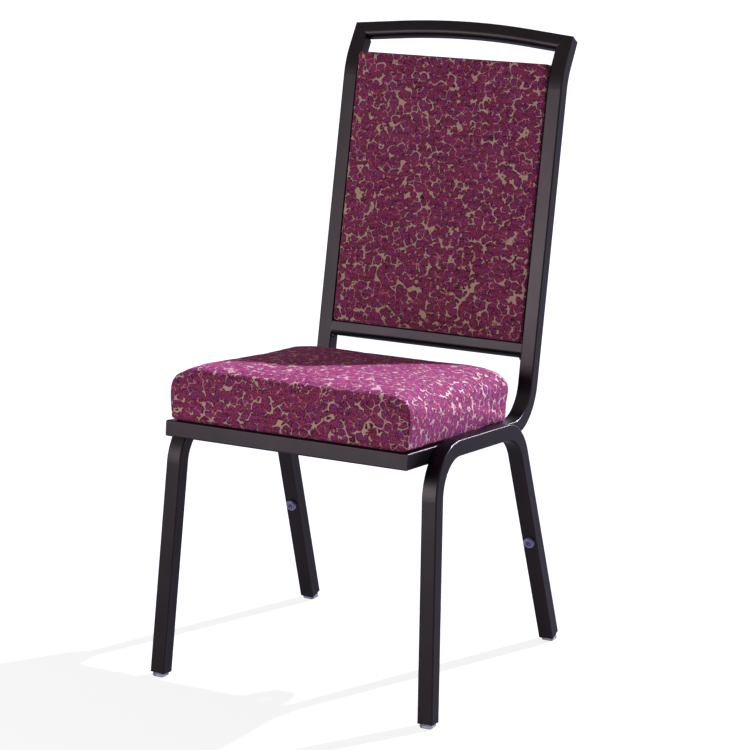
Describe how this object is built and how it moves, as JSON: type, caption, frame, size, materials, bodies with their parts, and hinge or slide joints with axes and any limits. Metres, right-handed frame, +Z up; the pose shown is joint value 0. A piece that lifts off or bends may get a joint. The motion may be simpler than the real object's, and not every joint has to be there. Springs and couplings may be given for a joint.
{
  "type": "stacking chair",
  "caption": "Stacking chair with a welded square-tube frame, boxed seat cushion and thin upholstered back panel below an arched top rail.",
  "frame": {"origin": "on the floor, under the middle of the chair's width and depth", "axes": "+Z up, the chair faces -Y, +X is to the right as seen from the front; left and right in node names are as seen from the front"},
  "size_m": [0.4446, 0.5487, 0.8859],
  "materials": {
    "frame_coating": "satin",
    "fixing_steel": "satin",
    "glide_plastic": "gloss",
    "bumper_plastic": "satin",
    "upholstery": "matte",
    "foam": "matte",
    "plywood": "matte",
    "hardboard": "matte",
    "dust_cloth": "matte",
    "clip_plastic": "matte"
  },
  "bodies": {
    "root": {"back_board": "plywood", "back_cover": "upholstery", "back_foam": "foam", "back_panel_clips": "clip_plastic", "back_rear_board": "hardboard", "back_rear_cover": "upholstery", "back_screws": "fixing_steel", "back_tabs": "frame_coating", "back_tee_nuts": "fixing_steel", "front_left_glide": "glide_plastic", "front_rail": "frame_coating", "front_right_glide": "glide_plastic", "left_leg_frame": "frame_coating", "left_side_tube": "frame_coating", "left_stack_bumper": "bumper_plastic", "lower_back_rail": "frame_coating", "rear_left_glide": "glide_plastic", "rear_right_glide": "glide_plastic", "rear_seat_rail": "frame_coating", "right_leg_frame": "frame_coating", "right_side_tube": "frame_coating", "right_stack_bumper": "bumper_plastic", "seat_board": "plywood", "seat_corner_plates": "frame_coating", "seat_cover": "upholstery", "seat_dust_cover": "dust_cloth", "seat_foam": "foam", "seat_screws": "fixing_steel", "seat_tee_nuts": "fixing_steel", "seat_washers": "fixing_steel", "top_rail": "frame_coating"}
  },
  "joints": []
}
